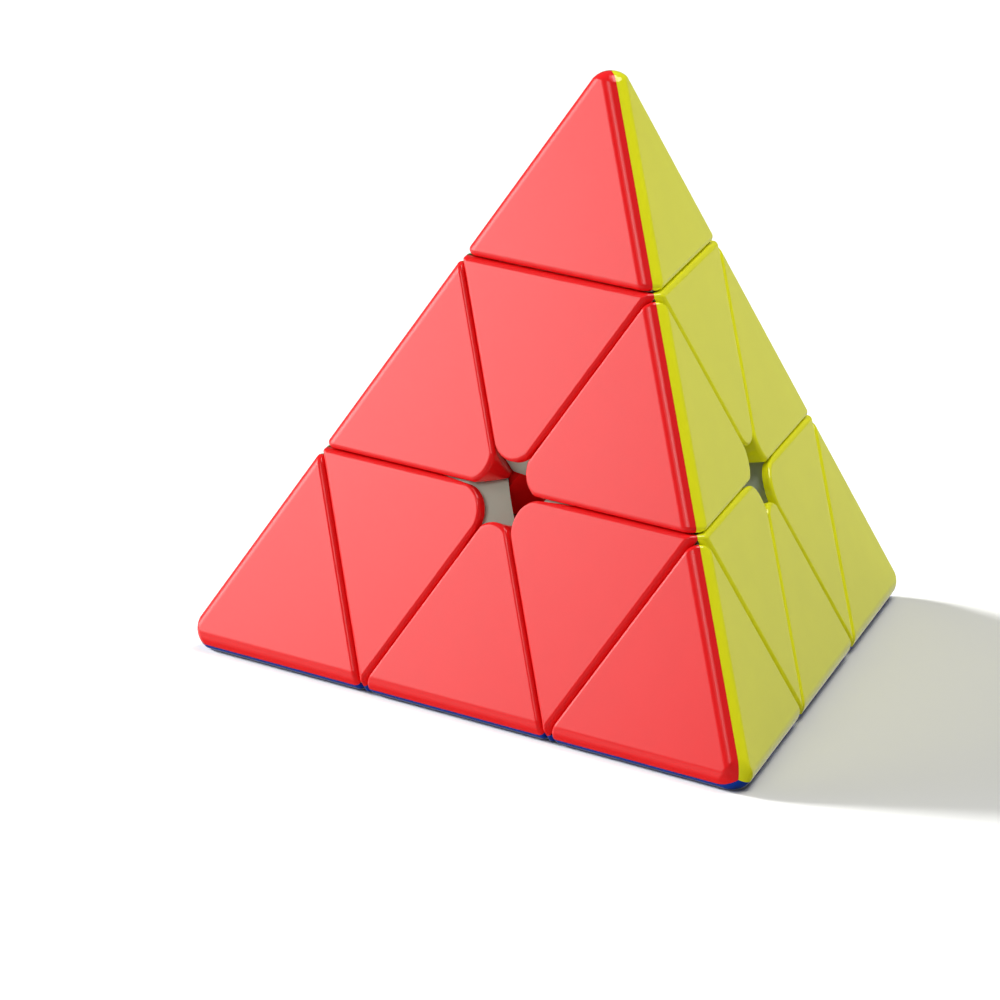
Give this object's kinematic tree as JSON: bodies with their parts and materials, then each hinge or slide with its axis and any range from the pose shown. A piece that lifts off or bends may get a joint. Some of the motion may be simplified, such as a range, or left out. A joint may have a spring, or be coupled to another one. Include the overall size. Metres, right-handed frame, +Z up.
{
  "type": "pyramid twisty puzzle",
  "caption": "Four-sided pyramid puzzle with turning corner layers, twisting tips and coloured plastic facets over a spring-loaded core.",
  "frame": {"origin": "centre of the core, where the four turning axes meet", "axes": "+Z up through the top vertex and square to the blue underside, -Y on the side of the red face"},
  "size_m": [0.2682, 0.2339, 0.2208],
  "materials": {
    "red": "gloss",
    "yellow": "gloss",
    "green": "gloss",
    "blue": "gloss",
    "grey": "satin",
    "steel": "satin"
  },
  "bodies": {
    "core": {"core": "grey", "screw_top": "steel", "washer_top": "steel", "spring_top": "steel", "screw_left": "steel", "washer_left": "steel", "spring_left": "steel", "screw_right": "steel", "washer_right": "steel", "spring_right": "steel", "screw_back": "steel", "washer_back": "steel", "spring_back": "steel"},
    "axial_top": {"axial_base_top": "grey", "axial_cap_top_yellow": "yellow", "axial_cap_top_green": "green", "axial_cap_top_red": "red"},
    "tip_top": {"tip_base_top": "grey", "tip_cap_top_yellow": "yellow", "tip_cap_top_green": "green", "tip_cap_top_red": "red"},
    "axial_left": {"axial_base_left": "grey", "axial_cap_left_blue": "blue", "axial_cap_left_green": "green", "axial_cap_left_red": "red"},
    "tip_left": {"tip_base_left": "grey", "tip_cap_left_blue": "blue", "tip_cap_left_green": "green", "tip_cap_left_red": "red"},
    "axial_right": {"axial_base_right": "grey", "axial_cap_right_blue": "blue", "axial_cap_right_yellow": "yellow", "axial_cap_right_red": "red"},
    "tip_right": {"tip_base_right": "grey", "tip_cap_right_blue": "blue", "tip_cap_right_yellow": "yellow", "tip_cap_right_red": "red"},
    "axial_back": {"axial_base_back": "grey", "axial_cap_back_blue": "blue", "axial_cap_back_yellow": "yellow", "axial_cap_back_green": "green"},
    "tip_back": {"tip_base_back": "grey", "tip_cap_back_blue": "blue", "tip_cap_back_yellow": "yellow", "tip_cap_back_green": "green"},
    "edge_top_left": {"edge_top_left_green": "green", "edge_top_left_red": "red"},
    "edge_top_right": {"edge_top_right_yellow": "yellow", "edge_top_right_red": "red"},
    "edge_top_back": {"edge_top_back_yellow": "yellow", "edge_top_back_green": "green"},
    "edge_left_right": {"edge_left_right_blue": "blue", "edge_left_right_red": "red"},
    "edge_back_left": {"edge_back_left_blue": "blue", "edge_back_left_green": "green"},
    "edge_right_back": {"edge_right_back_blue": "blue", "edge_right_back_yellow": "yellow"}
  },
  "joints": [
    {"name": "turn_top", "type": "hinge", "parent": "core", "child": "axial_top", "pos_m": [0, 0, 0], "axis": [0, 0, 1], "range_deg": [-240, 120]},
    {"name": "turn_left", "type": "hinge", "parent": "core", "child": "axial_left", "pos_m": [0, 0, 0], "axis": [-0.8165, -0.4714, -0.3333], "range_deg": [-120, 120]},
    {"name": "turn_right", "type": "hinge", "parent": "core", "child": "axial_right", "pos_m": [0, 0, 0], "axis": [0.8165, -0.4714, -0.3333], "range_deg": [-120, 120]},
    {"name": "turn_back", "type": "hinge", "parent": "core", "child": "axial_back", "pos_m": [0, 0, 0], "axis": [0, 0.9428, -0.3333], "range_deg": [-120, 120]},
    {"name": "twist_tip_top", "type": "hinge", "parent": "axial_top", "child": "tip_top", "pos_m": [0, 0, 0], "axis": [0, 0, 1], "continuous": true},
    {"name": "twist_tip_left", "type": "hinge", "parent": "axial_left", "child": "tip_left", "pos_m": [0, 0, 0], "axis": [-0.8165, -0.4714, -0.3333], "continuous": true},
    {"name": "twist_tip_right", "type": "hinge", "parent": "axial_right", "child": "tip_right", "pos_m": [0, 0, 0], "axis": [0.8165, -0.4714, -0.3333], "continuous": true},
    {"name": "twist_tip_back", "type": "hinge", "parent": "axial_back", "child": "tip_back", "pos_m": [0, 0, 0], "axis": [0, 0.9428, -0.3333], "continuous": true},
    {"name": "carry_edge_top_left", "type": "hinge", "parent": "axial_left", "child": "edge_top_left", "pos_m": [0, 0, 0], "axis": [0, 0, 1], "range_deg": [-240, 120]},
    {"name": "carry_edge_top_right", "type": "hinge", "parent": "axial_right", "child": "edge_top_right", "pos_m": [0, 0, 0], "axis": [0, 0, 1], "range_deg": [-240, 120]},
    {"name": "carry_edge_top_back", "type": "hinge", "parent": "axial_back", "child": "edge_top_back", "pos_m": [0, 0, 0], "axis": [0, 0, 1], "range_deg": [-240, 120]},
    {"name": "carry_edge_left_right", "type": "hinge", "parent": "axial_right", "child": "edge_left_right", "pos_m": [0, 0, 0], "axis": [-0.8165, -0.4714, -0.3333], "range_deg": [-120, 120]},
    {"name": "carry_edge_back_left", "type": "hinge", "parent": "axial_left", "child": "edge_back_left", "pos_m": [0, 0, 0], "axis": [0, 0.9428, -0.3333], "range_deg": [-120, 120]},
    {"name": "carry_edge_right_back", "type": "hinge", "parent": "axial_back", "child": "edge_right_back", "pos_m": [0, 0, 0], "axis": [0.8165, -0.4714, -0.3333], "range_deg": [-120, 120]}
  ],
  "couplings": [
    {"joint": "carry_edge_top_left", "follows": "turn_top", "ratio": 1},
    {"joint": "carry_edge_top_right", "follows": "turn_top", "ratio": 1},
    {"joint": "carry_edge_top_back", "follows": "turn_top", "ratio": 1},
    {"joint": "carry_edge_left_right", "follows": "turn_left", "ratio": 1},
    {"joint": "carry_edge_back_left", "follows": "turn_back", "ratio": 1},
    {"joint": "carry_edge_right_back", "follows": "turn_right", "ratio": 1}
  ]
}
